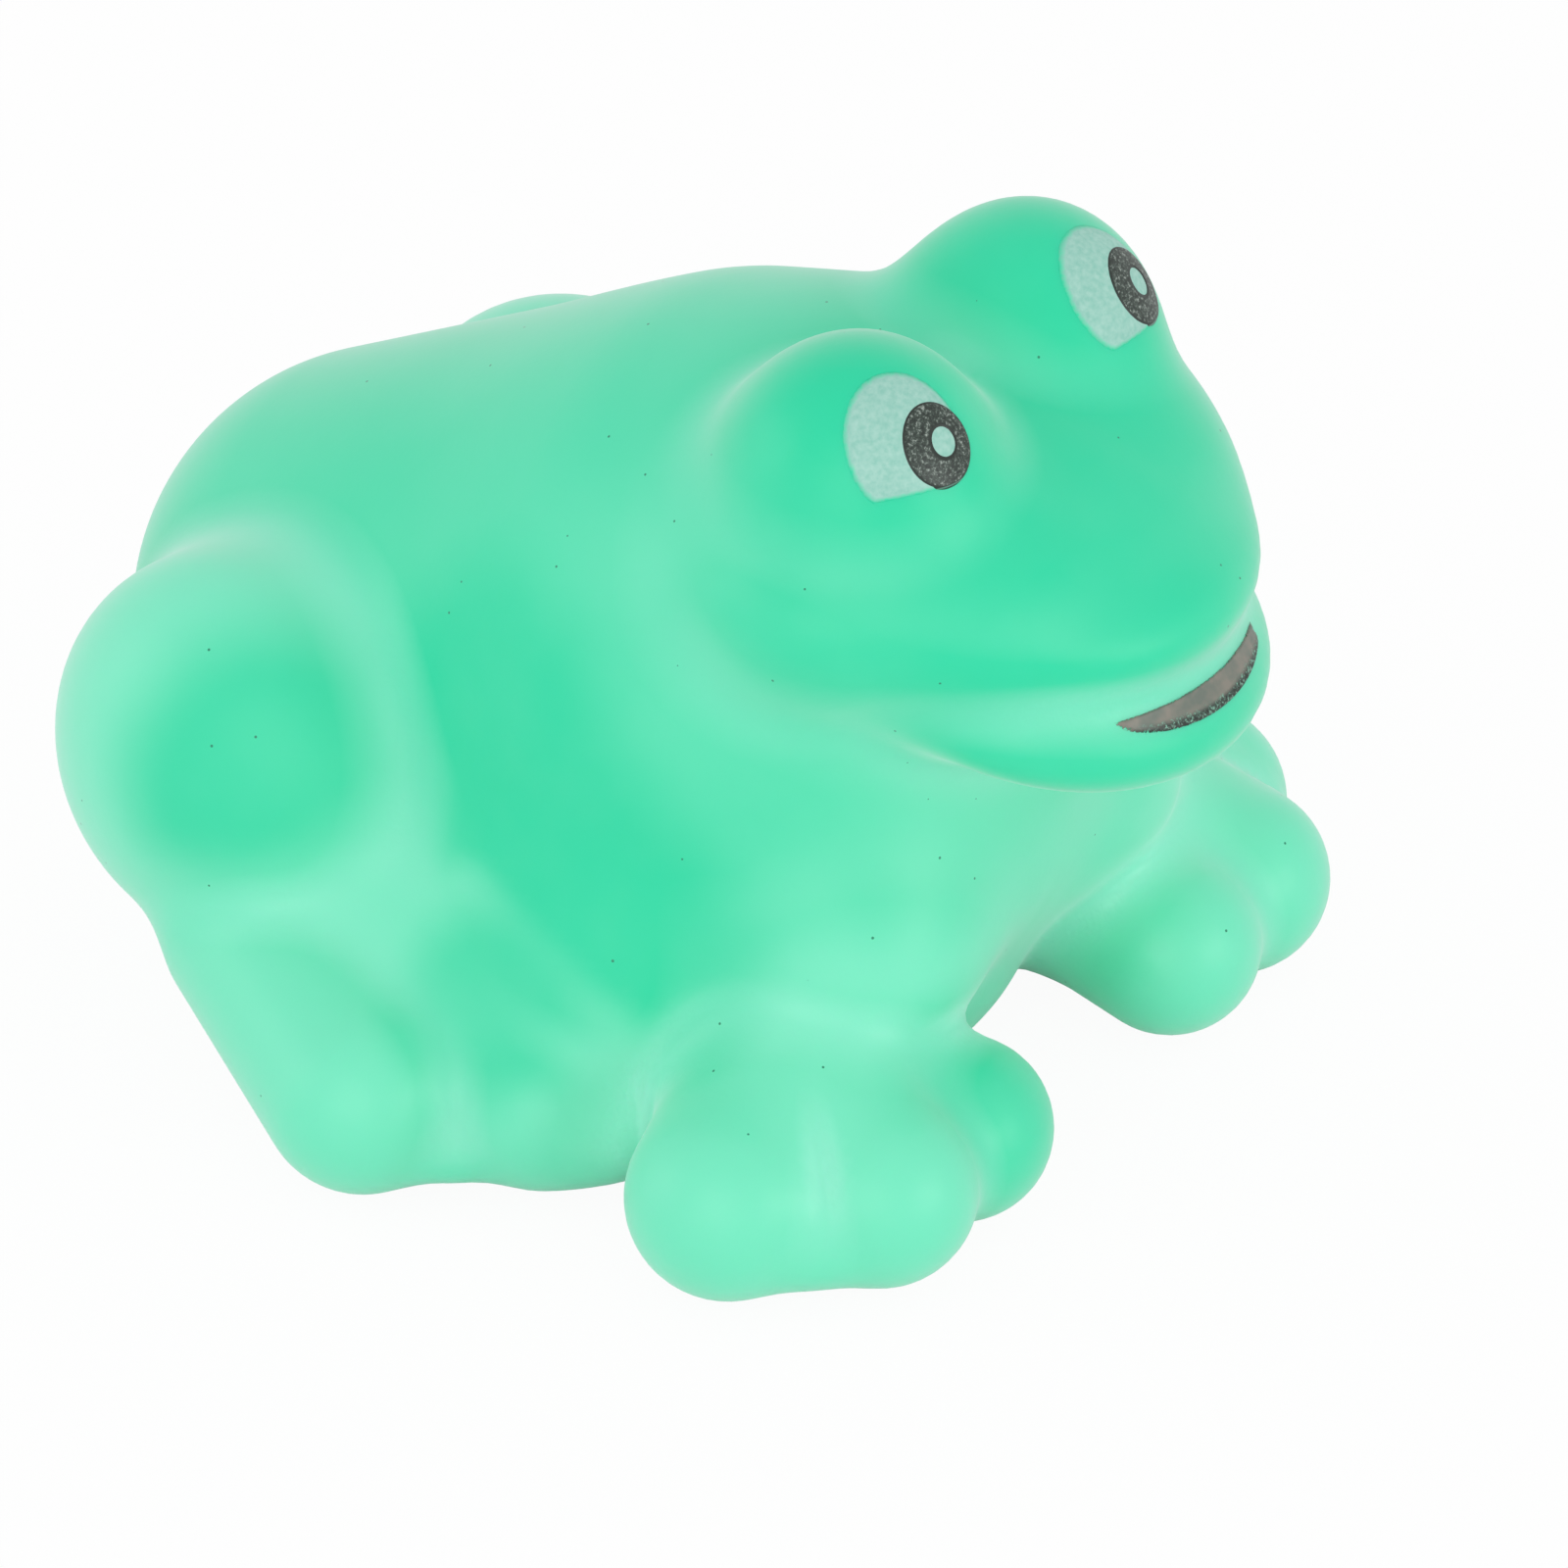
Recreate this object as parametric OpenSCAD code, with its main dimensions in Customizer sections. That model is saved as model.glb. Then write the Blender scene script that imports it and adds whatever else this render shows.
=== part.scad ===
// Squeaky bath toy: a small hollow frog of soft vinyl with printed eyes and mouth
// and a snap-in squeaker in its belly.
// Millimetres. The frog stands on z = 0, looks along -Y, and its right side is -X.
// Paired features are given for the left side (out = distance from the middle plane) and mirrored.

/* [Overall] */
// Length of the toy, jaw to rump
toy_length = 55.0; // [52:0.1:58]
// Width of the toy over its hind toes
toy_width = 50.8; // [49:0.1:53]
// Height of the toy to the top of its eyes
toy_height = 40.0; // [39:0.1:41.5]

/* [Shell] */
// Thickness of the moulded vinyl
wall = 2.0; // [1.2:0.1:3]
// Height of the lower edge of the band that folds when the toy is squeezed
fold_low = 8.0; // [7:0.1:8.5]
// Height of the upper edge of that band
fold_high = 15.0; // [14.8:0.1:17]
// Gap between two zones of the shell
zone_gap = 0.05; // [0.02:0.01:0.2]

/* [Trunk] */
// Radius of the rump
rump_r = 12.2; // [11:0.1:13]
// Rump centre, above the ground
rump_z = 14.2; // [13:0.1:15.5]
// Radius of the back behind the head
shoulder_r = 15.4; // [14:0.1:16.5]
// Shoulder centre, in front of the origin
shoulder_y = 3.8; // [2:0.1:5]
// Shoulder centre, above the ground
shoulder_z = 20.1; // [19:0.1:21]
// Radius of the front half of the trunk, under the shoulder
loin_front_r = 14.3; // [13.5:0.1:14.8]
// Its centre, above the ground
loin_front_z = 19.0; // [18.5:0.1:19.5]
// Radius of the rear half of the trunk
loin_rear_r = 13.0; // [12.4:0.1:13.4]
// Its centre, above the ground
loin_rear_z = 17.6; // [17:0.1:18]
// Its centre, behind the origin
loin_rear_y = 4.0; // [3:0.1:5]
// Radius of the low roll along each flank
flank_r = 9.8; // [9.2:0.1:10.2]
// Flank roll, out from the middle plane
flank_out = 8.0; // [7:0.1:9]
// Flank roll, above the ground
flank_z = 9.4; // [9:0.1:9.8]
// Front end of the flank roll, in front of the origin
flank_front = 2.4; // [1:0.1:4]
// Rear end of the flank roll, behind the origin
flank_rear = 8.2; // [6:0.1:10]
// Width of the belly pad
belly_w = 32.0; // [30:0.5:33]
// Length of the belly pad
belly_l = 33.0; // [30:0.5:35]
// Height of the belly pad before its underside is cut flat
belly_h = 16.5; // [15:0.5:18]
// Belly pad centre, behind the origin
belly_y = 0.6; // [0:0.1:1.2]
// Belly pad centre, above the ground
belly_z = 5.0; // [4:0.1:6]
// Radius of the chest
chest_r = 8.6; // [8.1:0.1:9]
// Radius of the chest at its lower end
chest_low_r = 8.0; // [7.4:0.1:8.4]
// Chest centre, behind the middle of the crown
chest_back = 2.2; // [1.6:0.1:2.8]
// Chest centre, above the ground
chest_z = 14.6; // [14:0.1:15.2]
// Depth of the chest from its centre to its lower end
chest_drop = 3.2; // [2.6:0.1:3.8]

/* [Head] */
// Width of the crown, cheek to cheek
crown_w = 29.0; // [27:0.1:31]
// Length of the crown
crown_l = 20.8; // [19:0.1:23]
// Height of the crown
crown_h = 13.2; // [12:0.1:14.4]
// Tilt of the crown, nose down
crown_tilt = 6; // [2:1:10]
// Width of the muzzle
muzzle_w = 22.8; // [21:0.1:24]
// Length of the muzzle
muzzle_l = 22.8; // [21.5:0.1:23.4]
// Height of the muzzle
muzzle_h = 8.6; // [8:0.1:9.4]
// Tilt of the muzzle, nose down
muzzle_tilt = 11; // [7:1:13]
// Muzzle, in front of the crown's middle
muzzle_forward = 2.9; // [2:0.1:3.3]
// Muzzle, below the crown's middle
muzzle_drop = 0.4; // [0:0.1:0.8]
// Width of the nape behind the eyes
nape_w = 27.2; // [25:0.1:29]
// Length of the nape
nape_l = 16.0; // [14:0.1:18]
// Height of the nape
nape_h = 14.8; // [13.6:0.1:15.6]
// Nape, behind the crown's middle
nape_back = 4.2; // [3:0.1:5]
// Radius of the round lower jaw
jaw_r = 10.4; // [9.8:0.1:10.8]
// Height of the lower jaw
jaw_h = 8.2; // [7.4:0.1:9]
// Tilt of the lower jaw, chin down
jaw_tilt = 17; // [13:1:20]
// Lower jaw, in front of the crown's middle
jaw_forward = 4.7; // [4.4:0.1:5.2]
// Lower jaw, below the crown's middle
jaw_drop = 4.6; // [4.3:0.1:5.2]
// Radius of the cheek at each mouth corner
cheek_r = 4.2; // [3.6:0.1:4.6]
// Cheek, out from the middle plane
cheek_out = 9.3; // [8.5:0.1:10]
// Cheek, below the crown's middle
cheek_drop = 2.0; // [1.4:0.1:3]
// Radius of the eye bump
eye_r = 5.0; // [4.7:0.1:5.4]
// Eye bump, out from the middle plane
eye_out = 6.9; // [6.5:0.1:7.6]
// Eye bump, above the crown's middle
eye_rise = 5.6; // [5.3:0.1:6]
// Radius of the brow behind the eye
brow_r = 5.3; // [4.9:0.1:5.5]
// Brow, outwards from the eye
brow_out = 0.4; // [0:0.1:0.8]
// Brow, behind the eye
brow_back = 1.0; // [0.6:0.1:1.6]
// Brow, below the eye
brow_drop = 2.0; // [1.6:0.1:2.6]
// Radius of the ridge in front of the eye, where it starts
ridge_top_r = 5.1; // [4.7:0.1:5.2]
// Radius of the ridge where it ends on the muzzle
ridge_low_r = 4.7; // [4.2:0.1:4.9]
// Start of the ridge, below the eye
ridge_drop = 2.4; // [2:0.1:3]
// Length of the ridge towards the muzzle
ridge_l = 3.6; // [3:0.1:4.2]
// Fall of the ridge towards the muzzle
ridge_fall = 4.0; // [3.5:0.1:4.5]

/* [Hind legs] */
// Width of the thigh
thigh_w = 14.6; // [13.5:0.1:15.5]
// Length of the thigh
thigh_l = 18.6; // [17:0.1:20]
// Height of the thigh
thigh_h = 19.0; // [18:0.1:20]
// Tilt of the thigh, knee down
thigh_tilt = 10; // [5:1:20]
// Thigh, out from the middle plane
thigh_out = 13.2; // [12.4:0.1:14]
// Thigh, in front of the rump's centre
thigh_forward = 0.6; // [0:0.1:1.5]
// Radius of the outer toe's root
hind_outer_root_r = 4.6; // [4.2:0.1:5]
// Radius of the inner toe's root
hind_inner_root_r = 6.2; // [5.6:0.1:6.6]
// Height of the outer toe's root above the ground
hind_outer_root_z = 7.0; // [6.4:0.1:7.6]
// Height of the inner toe's root above the ground
hind_inner_root_z = 8.0; // [7.2:0.1:8.6]
// Radius of the outer hind toe
hind_outer_r = 4.5; // [4:0.1:5]
// Radius of the inner hind toe
hind_inner_r = 4.3; // [3.9:0.1:4.7]
// Length of the outer hind toe, root to tip
hind_outer_l = 9.9; // [9:0.1:11]
// Length of the inner hind toe, root to tip
hind_inner_l = 10.7; // [9.8:0.1:11.6]
// Tip of the outer hind toe, behind the origin
hind_tip_y = 3.8; // [3:0.1:5]
// Step from the outer toe's tip to the inner one's, inwards
hind_tip_in = 4.1; // [3.5:0.1:4.6]
// The same step, forwards
hind_tip_forward = 6.6; // [6:0.1:7.2]

/* [Front legs] */
// Radius of the arm at the chest
arm_top_r = 7.4; // [6.8:0.1:7.8]
// Radius of the arm at the wrist
arm_low_r = 6.5; // [5.9:0.1:6.9]
// Radius of the palm
palm_r = 5.5; // [5:0.1:5.8]
// Palm, inwards from the widest point of the toy
palm_in = 13.3; // [12.5:0.1:14]
// Palm, in front of the crown's middle
palm_forward = 0.4; // [0:0.1:1]
// Radius of the outer front toe
front_outer_r = 4.5; // [4.1:0.1:5]
// Radius of the middle front toe
front_middle_r = 4.3; // [3.9:0.1:4.7]
// Radius of the inner front toe
front_inner_r = 4.1; // [3.7:0.1:4.5]
// Length of the outer front toe, palm to tip
front_outer_l = 7.3; // [6.6:0.1:8]
// Length of the middle front toe, palm to tip
front_middle_l = 6.5; // [5.8:0.1:7.2]
// Length of the inner front toe, palm to tip
front_inner_l = 6.9; // [6.2:0.1:7.6]
// Depth by which the round toes are flattened on the ground
toe_flat = 0.25; // [0.1:0.05:0.6]

/* [Prints] */
// Thickness of a paint or ink film
film = 0.12; // [0.08:0.01:0.2]
// Gap under a film
film_gap = 0.02; // [0.01:0.01:0.05]
// Radius of the sprayed eye white, seen from the front
white_r = 2.9; // [2.4:0.1:3.2]
// Straight lower edge of the white, above the eye's middle
white_edge = 0.5; // [0.4:0.1:1.2]
// Sideways slip of both whites, towards the frog's right
white_slip = 0.7; // [0:0.05:1]
// Radius of the printed pupil
pupil_r = 1.7; // [1.5:0.05:1.9]
// Radius of the bare highlight in the pupil
glint_r = 0.5; // [0.3:0.05:0.7]
// Upward tilt of the gaze
gaze_up = 25; // [22:1:34]
// Outward turn of the gaze
gaze_out = 15; // [5:1:20]
// Slip of both pupils, towards the frog's right, in degrees
gaze_slip = 1; // [0:1:6]
// Width of the printed mouth, tip to tip
mouth_w = 10.7; // [9:0.1:11.4]
// Sag of the mouth's round lower edge below its straight upper edge
mouth_sag = 1.2; // [0.9:0.05:1.5]
// Upper edge of the mouth, below the middle of the jaw
mouth_drop = 0.1; // [0:0.05:0.4]
// Sideways slip of the mouth, towards the frog's right
mouth_slip = 0.5; // [0:0.1:1]

/* [Squeaker] */
// Radius of the housing's barrel
barrel_r = 4.5; // [4:0.1:5.2]
// Length of the housing above the flange
barrel_l = 7.4; // [6.8:0.1:9]
// Wall of the barrel
barrel_wall = 1.2; // [0.9:0.1:1.4]
// Radius of the flange
flange_r = 6.5; // [6:0.1:8]
// Thickness of the flange
flange_t = 0.8; // [0.6:0.1:1]
// Height of the flange's face above the ground
flange_lift = 0.1; // [0.05:0.05:0.3]
// Height of the snap bead above the barrel's surface
bead = 0.5; // [0.3:0.05:0.7]
// Radius of the air hole
air_hole_r = 1.5; // [1:0.1:2]
// Clearance round the housing in the vinyl
seat_gap = 0.1; // [0.05:0.01:0.2]
// Clearance of the reed plugs in the barrel
plug_gap = 0.03; // [0.02:0.01:0.08]
// Width of the slot between the two plugs
slot_w = 0.5; // [0.4:0.05:0.6]
// Length of the reed that sits in the slot
reed_root = 1.6; // [1.2:0.1:1.8]
// Length of the free tongue of the reed
reed_tongue = 3.4; // [2.8:0.1:3.6]
// Width of the reed
reed_w = 3.0; // [2.4:0.1:3.6]
// Thickness of the reed
reed_t = 0.16; // [0.1:0.01:0.2]
// Radius of the air channel in the reed holder
channel_r = 1.1; // [0.8:0.1:1.3]

/* [Hidden] */

vinyl = "#4fdcb0";
paint_white = "#b9ded3";
ink = "#2b3530";
housing_plastic = "#e9ece8";
plug_plastic = "#dfe5ee";
reed_film = "#f2f4f6";

skin_fn = 32;
cavity_fn = 20;
toe_fn = 20;
print_fn = 64;
reach = 100;

rump_y = toy_length / 2 - rump_r;
jaw_reach = norm([jaw_r * cos(jaw_tilt), jaw_h / 2 * sin(jaw_tilt)]);
head_y = toy_length / 2 - jaw_reach - jaw_forward;
head_z = toy_height - eye_r - eye_rise;
eye = [eye_out, -head_y, head_z + eye_rise];
brow = eye + [brow_out, brow_back, -brow_drop];
ridge_inwards = 0.8;
ridge_lead = 0.7;
ridge_top = eye + [0, -ridge_lead, -ridge_drop];
ridge_low = ridge_top + [-ridge_inwards, -ridge_l, -ridge_fall];
jaw = [0, -head_y - jaw_forward, head_z - jaw_drop];
chest = [0, chest_back - head_y, chest_z];
loin_front = [0, -flank_front, loin_front_z];
loin_rear = [0, loin_rear_y, loin_rear_z];
flank_low = [flank_out, -flank_front, flank_z];
flank_back = [flank_out, flank_rear, flank_z];

palm_lift = 0.1;
palm = [toy_width / 2 - palm_in, -head_y - palm_forward, palm_r + palm_lift];
arm_in = 2.4;
wrist_in = 3.9;
wrist_back = 0.3;
wrist_rise = 6.0;
arm_top = chest + [chest_r - arm_in, 0, 0];
arm_low = palm + [-wrist_in, wrist_back, wrist_rise];
front_toe_r = [front_outer_r, front_middle_r, front_inner_r];
front_toe_l = [front_outer_l, front_middle_l, front_inner_l];
front_toe_turn = [6, 63, 117];

hind_toe_r = [hind_outer_r, hind_inner_r];
hind_toe_l = [hind_outer_l, hind_inner_l];
hind_toe_turn = [60, 67];
hind_root_r = [hind_outer_root_r, hind_inner_root_r];
hind_root_z = [hind_outer_root_z, hind_inner_root_z];
hind_tip = [toy_width / 2 - hind_outer_r, hind_tip_y];
hind_tip_step = [-hind_tip_in, -hind_tip_forward];

// The white sits a little outwards on the eye, and its round mask nearly reaches the top of the eye bump
white_out = 0.6;
white_margin = 0.2;
white_mid = eye_r - white_r - white_margin;

squeaker_y = 0.8;
bore_r = barrel_r - barrel_wall;
plug_r = bore_r - plug_gap;
barrel_floor = 1.0;
housing_top = flange_lift + flange_t + barrel_l;
plug_low = flange_lift + barrel_floor + plug_gap;
plug_sunk = 0.5;
plug_high = housing_top - plug_sunk;
reed_sunk = 0.3;
wedge_low = plug_high - reed_root - reed_sunk;
bead_low = wall + seat_gap;
bead_h = 0.9;

// Ground-plane offset of a toe that points turn degrees from sideways towards the front
function toe_step(length, turn) = length * [cos(turn), -sin(turn)];

// Points of half an ellipse, to be turned about Z
function half_ellipse(r, h, n) = [for (i = [0:n]) [r * sin(180 * i / n), -h * cos(180 * i / n)]];

module egg(size, fn) {
    scale(size / 2) sphere(r = 1, $fn = fn);
}

module pair() {
    children();
    mirror([1, 0, 0]) children();
}

// A limb that tapers from one ball to another
module limb(from, from_r, to, to_r) {
    hull() {
        translate(from) sphere(r = from_r, $fn = toe_fn);
        translate(to) sphere(r = to_r, $fn = toe_fn);
    }
}

// Every part of the body that is hollow, drawn smaller by inset on all sides
module hollow_forms(inset, fn) {
    inset_size = 2 * inset * [1, 1, 1];
    hull() {
        translate([0, rump_y, rump_z]) sphere(r = rump_r - inset, $fn = fn);
        translate([0, -shoulder_y, shoulder_z]) sphere(r = shoulder_r - inset, $fn = fn);
    }
    translate([0, belly_y, belly_z]) egg([belly_w, belly_l, belly_h] - inset_size, fn);
    hull() {
        translate(chest) sphere(r = chest_r - inset, $fn = fn);
        translate(chest - [0, 0, chest_drop]) sphere(r = chest_low_r - inset, $fn = fn);
    }
    hull() {
        translate([0, -head_y, head_z]) rotate([crown_tilt, 0, 0])
            egg([crown_w, crown_l, crown_h] - inset_size, fn);
        translate([0, -head_y - muzzle_forward, head_z - muzzle_drop]) rotate([muzzle_tilt, 0, 0])
            egg([muzzle_w, muzzle_l, muzzle_h] - inset_size, fn);
    }
    translate([0, nape_back - head_y, head_z]) egg([nape_w, nape_l, nape_h] - inset_size, fn);
    pair() {
        hull() {
            translate(loin_front) sphere(r = loin_front_r - inset, $fn = fn);
            translate(flank_low) sphere(r = flank_r - inset, $fn = fn);
        }
        hull() {
            translate(loin_rear) sphere(r = loin_rear_r - inset, $fn = fn);
            translate(flank_low) sphere(r = flank_r - inset, $fn = fn);
            translate(flank_back) sphere(r = flank_r - inset, $fn = fn);
        }
        hull() {
            translate(eye) sphere(r = eye_r - inset, $fn = fn);
            translate(brow) sphere(r = brow_r - inset, $fn = fn);
        }
        translate([thigh_out, rump_y - thigh_forward, rump_z]) rotate([thigh_tilt, 0, 0])
            egg([thigh_w, thigh_l, thigh_h] - inset_size, fn);
    }
}

module front_foot() {
    for (i = [0:2]) {
        tip = [palm.x, palm.y] + toe_step(front_toe_l[i], front_toe_turn[i]);
        limb(palm, palm_r, [tip.x, tip.y, front_toe_r[i] - toe_flat], front_toe_r[i]);
    }
}

module hind_foot() {
    for (i = [0:1]) {
        tip = hind_tip + i * hind_tip_step;
        root = tip - toe_step(hind_toe_l[i], hind_toe_turn[i]);
        ground_ball = [tip.x, tip.y, hind_toe_r[i] - toe_flat];
        limb([root.x, root.y, hind_root_z[i]], hind_root_r[i], ground_ball, hind_toe_r[i]);
    }
}

// The round, flat lower jaw, drawn larger by grow on all sides
module jaw_form(grow, fn) {
    translate(jaw) rotate([jaw_tilt, 0, 0]) rotate_extrude($fn = fn)
        polygon(half_ellipse(jaw_r + grow, jaw_h / 2 + grow, fn / 2));
}

// Forms that the moulding fills with vinyl
module filled_forms() {
    jaw_form(0, skin_fn);
    pair() {
        translate([cheek_out, -head_y, head_z - cheek_drop]) sphere(r = cheek_r, $fn = toe_fn);
        limb(ridge_top, ridge_top_r, ridge_low, ridge_low_r);
        limb(arm_top, arm_top_r, arm_low, arm_low_r);
        front_foot();
        hind_foot();
    }
}

module squeaker_seat() {
    translate([0, -squeaker_y, 0]) {
        recess = flange_lift + flange_t + seat_gap;
        cylinder(r = flange_r + seat_gap, h = 2 * recess, center = true, $fn = print_fn);
        cylinder(r = barrel_r + seat_gap, h = 2 * housing_top, center = true, $fn = print_fn);
    }
}

module level(low, high) {
    translate([-reach / 2, -reach / 2, low]) cube([reach, reach, high - low]);
}

// The one-piece moulding: closed skin, flat underside, hole for the squeaker
module moulding() {
    difference() {
        union() {
            hollow_forms(0, skin_fn);
            filled_forms();
        }
        intersection() {
            hollow_forms(wall, cavity_fn);
            level(wall, reach);
        }
        squeaker_seat();
    }
}

module shell_zone(low, high) {
    color(vinyl) intersection() {
        moulding();
        level(low, high);
    }
}

module shell_lower() {
    shell_zone(0, fold_low);
}

module shell_fold_band() {
    shell_zone(fold_low + zone_gap, fold_high - zone_gap);
}

module shell_upper() {
    shell_zone(fold_high, reach);
}

// Thin skin that follows the eye bump, at a given height above the vinyl
module eye_skin(lift) {
    difference() {
        sphere(r = eye_r + lift + film, $fn = print_fn);
        sphere(r = eye_r + lift, $fn = print_fn);
    }
}

module at_eye(side) {
    translate([side * eye.x, eye.y, eye.z]) children();
}

// Sprayed white: a round mask with a straight lower edge, sprayed from the front
module eye_white(side) {
    color(paint_white) at_eye(side) intersection() {
        eye_skin(film_gap);
        rotate([90, 0, 0]) linear_extrude(reach) intersection() {
            translate([side * white_out - white_slip, white_mid]) circle(r = white_r, $fn = print_fn);
            translate([-reach / 2, white_edge]) square(reach);
        }
    }
}

module eye_white_right() {
    eye_white(-1);
}

module eye_white_left() {
    eye_white(1);
}

// Printed pupil: a round ink film with a bare window for the highlight
module pupil(side) {
    turn = side * gaze_out - gaze_slip;
    color(ink) at_eye(side) intersection() {
        eye_skin(2 * film_gap + film);
        rotate([90 - gaze_up, 0, turn]) difference() {
            cylinder(r = pupil_r, h = reach, $fn = print_fn);
            cylinder(r = glint_r, h = reach, $fn = print_fn);
        }
    }
}

module pupil_right() {
    pupil(-1);
}

module pupil_left() {
    pupil(1);
}

// Radius of an arc from its chord and its sag
function arc_r(chord, sag) = (chord * chord / 4 + sag * sag) / (2 * sag);

// Printed mouth: a bow on the jaw, straight above and round below
module mouth_print() {
    low_r = arc_r(mouth_w, mouth_sag);
    color(ink) intersection() {
        difference() {
            jaw_form(film_gap + film, print_fn);
            jaw_form(film_gap, print_fn);
        }
        translate(jaw - [mouth_slip, 0, mouth_drop]) rotate([90, 0, 0]) linear_extrude(reach)
            intersection() {
                translate([0, low_r - mouth_sag]) circle(r = low_r, $fn = print_fn);
                translate([-reach / 2, -reach]) square(reach);
            }
    }
}

module at_squeaker() {
    translate([0, -squeaker_y, 0]) children();
}

// Cup with a flange outside the vinyl and a snap bead inside it
module squeaker_housing() {
    bead_r = barrel_r + bead;
    color(housing_plastic) at_squeaker() rotate_extrude($fn = print_fn) polygon([
        [air_hole_r, flange_lift],
        [flange_r, flange_lift],
        [flange_r, flange_lift + flange_t],
        [barrel_r, flange_lift + flange_t],
        [barrel_r, bead_low],
        [bead_r, bead_low + bead_h / 3],
        [barrel_r, bead_low + bead_h],
        [barrel_r, housing_top],
        [bore_r, housing_top],
        [bore_r, flange_lift + barrel_floor],
        [air_hole_r, flange_lift + barrel_floor],
    ]);
}

// One half of a round plug, on the side of the slot that side points to
module half_plug(side, low, high) {
    intersection() {
        translate([0, 0, low]) cylinder(r = plug_r, h = high - low, $fn = print_fn);
        translate([-reach / 2, side > 0 ? slot_w / 2 : -reach - slot_w / 2, 0]) cube(reach);
    }
}

// Long half plug with the channel that the reed closes and opens
module reed_holder() {
    color(plug_plastic) at_squeaker() difference() {
        half_plug(1, plug_low, plug_high);
        translate([0, slot_w / 2, 0]) cylinder(r = channel_r, h = reach, $fn = print_fn);
    }
}

// Short half plug that holds the root of the reed
module reed_wedge() {
    color(plug_plastic) at_squeaker() half_plug(-1, wedge_low, plug_high);
}

module reed() {
    color(reed_film) at_squeaker() translate([-reed_w / 2, -reed_t / 2, wedge_low - reed_tongue])
        cube([reed_w, reed_t, reed_tongue + reed_root]);
}

shell_lower();
shell_fold_band();
shell_upper();
eye_white_right();
eye_white_left();
pupil_right();
pupil_left();
mouth_print();
squeaker_housing();
reed_holder();
reed_wedge();
reed();
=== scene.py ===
import math

import bpy
import numpy as np
from mathutils import Matrix, Vector


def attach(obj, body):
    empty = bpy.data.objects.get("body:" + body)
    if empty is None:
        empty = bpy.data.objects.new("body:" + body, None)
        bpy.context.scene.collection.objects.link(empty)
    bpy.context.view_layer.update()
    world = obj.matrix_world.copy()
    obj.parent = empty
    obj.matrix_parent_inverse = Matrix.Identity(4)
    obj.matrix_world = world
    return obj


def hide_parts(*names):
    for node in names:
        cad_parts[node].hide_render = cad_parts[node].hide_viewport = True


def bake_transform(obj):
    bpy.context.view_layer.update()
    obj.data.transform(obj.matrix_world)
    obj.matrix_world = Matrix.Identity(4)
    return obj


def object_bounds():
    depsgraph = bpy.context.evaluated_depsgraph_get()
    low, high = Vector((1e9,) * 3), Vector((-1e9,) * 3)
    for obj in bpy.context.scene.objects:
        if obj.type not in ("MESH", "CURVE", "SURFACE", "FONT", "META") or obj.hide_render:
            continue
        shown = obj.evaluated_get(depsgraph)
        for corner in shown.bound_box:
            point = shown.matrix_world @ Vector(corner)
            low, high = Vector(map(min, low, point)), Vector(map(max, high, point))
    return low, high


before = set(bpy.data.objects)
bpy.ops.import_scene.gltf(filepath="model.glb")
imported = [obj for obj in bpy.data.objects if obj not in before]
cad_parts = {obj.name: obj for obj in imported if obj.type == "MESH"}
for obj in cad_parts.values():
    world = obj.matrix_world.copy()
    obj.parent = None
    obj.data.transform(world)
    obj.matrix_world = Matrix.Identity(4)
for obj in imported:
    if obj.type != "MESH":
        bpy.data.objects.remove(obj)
cad_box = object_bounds()

# Sizes are in millimetres, apart from those of the stage, and in the part's own frame: the frog
# looks along -Y, its right side is -X, and it stands on z = 0. Pieces are turned to metres as they are made.
MM = 0.001

# The vinyl moulding: its wall, and the rounding of its outer edges, of its hollow and of the seat
WALL = 2.0
EDGE_ROUND = 0.4
HOLLOW_ROUND = 1.0
SEAT_ROUND = 0.2
EYE_CENTRE = (-6.9, -12.8, 35.0)
EYE_R = 5.0

# The net of cells that its surface is found on: their size, the room left round the part,
# and how many lots the net is worked through in, to save memory
SKIN_STEP = 0.5
GRID_MARGIN = 3.3
GRID_LOTS = 24

# Distances at which the skin feels for a crease, and what each counts for: grooves, folds, whole limbs
CREASE_REACHES = ((0.8, 0.5), (2.0, 0.4), (6.0, 0.1))

# The squeaker's seat in the belly
SEAT_Y = -0.8
SEAT_HOLE_R = 4.6
SEAT_RECESS_R = 6.6
SEAT_RECESS_DEPTH = 1.0


# Distances to simple forms. Each maker returns a function of an array of points.

def egg(centre, radii, tilt=0.0):
    """An ellipsoid; tilt lowers its front end, in degrees."""
    turn = np.array(Matrix.Rotation(math.radians(tilt), 3, "X"))
    radii = np.array(radii, float)

    def distance(points):
        q = (points - np.array(centre)) @ turn
        near = np.linalg.norm(q / radii, axis=1)
        slope = np.linalg.norm(q / radii ** 2, axis=1)
        return near * (near - 1) / np.maximum(slope, 1e-9)
    return distance


def limb(start, start_r, end, end_r):
    """A tapered limb with round ends."""
    start, end = np.array(start, float), np.array(end, float)
    along = end - start
    length = np.linalg.norm(along)
    along = along / length
    lean = (start_r - end_r) / length
    rise = math.sqrt(1 - lean * lean)

    def distance(points):
        q = points - start
        t = q @ along
        out = np.sqrt(np.maximum((q * q).sum(1) - t * t, 0))
        foot = np.clip(t - out * lean / rise, 0, length)
        return np.hypot(out, t - foot) - (start_r - lean * foot)
    return distance


def mirrored(form):
    """The same form on both sides of the middle plane, given for the right side."""
    def distance(points):
        folded = points.copy()
        folded[:, 0] = -np.abs(folded[:, 0])
        return form(folded)
    return distance


def soft_union(a, b, blend):
    """The distance to two forms that flow into each other over the width of the blend."""
    share = np.clip(0.5 + 0.5 * (b - a) / blend, 0, 1)
    return b + (a - b) * share - blend * share * (1 - share)


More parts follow.
